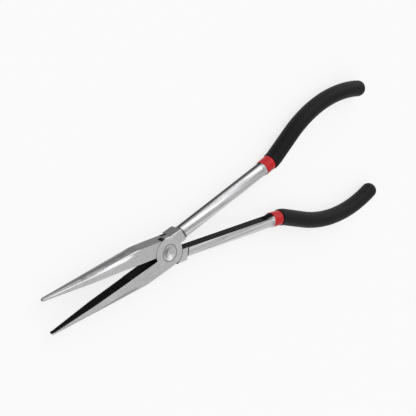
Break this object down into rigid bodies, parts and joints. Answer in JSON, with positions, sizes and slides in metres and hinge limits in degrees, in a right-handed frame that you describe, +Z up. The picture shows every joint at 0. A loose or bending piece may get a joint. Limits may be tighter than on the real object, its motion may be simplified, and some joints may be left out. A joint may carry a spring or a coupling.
{
  "type": "long reach needle nose pliers",
  "caption": "Long-reach needle-nose pliers: slender tapered jaws, riveted lap joint, half-round handle bars and curved dipped grips with coloured rings, stored partly open.",
  "frame": {"origin": "on the rivet's axis, at the underside of the joint that the tool lies on", "axes": "+X from the jaws towards the handle ends along the line that halves the jaw opening, +Z up along the rivet's axis, +Y towards the top lever's handle"},
  "size_m": [0.2762, 0.0954, 0.011],
  "materials": {
    "ground_steel": "fine ground, satin",
    "turned_steel": "lathe-turned rings",
    "ring_vinyl": "gloss red",
    "grip_vinyl": "satin black dipped vinyl"
  },
  "bodies": {
    "top_half": {"top_lever": "ground_steel", "pivot_rivet": "turned_steel", "top_lever_collar": "ring_vinyl", "top_lever_grip": "grip_vinyl"},
    "bottom_half": {"bottom_lever": "ground_steel", "bottom_lever_collar": "ring_vinyl", "bottom_lever_grip": "grip_vinyl"}
  },
  "joints": [
    {"name": "rivet_pivot", "type": "hinge", "parent": "top_half", "child": "bottom_half", "pos_m": [0, 0, 0.0047], "axis": [0, 0, 1], "range_deg": [-43, 13.4]}
  ]
}
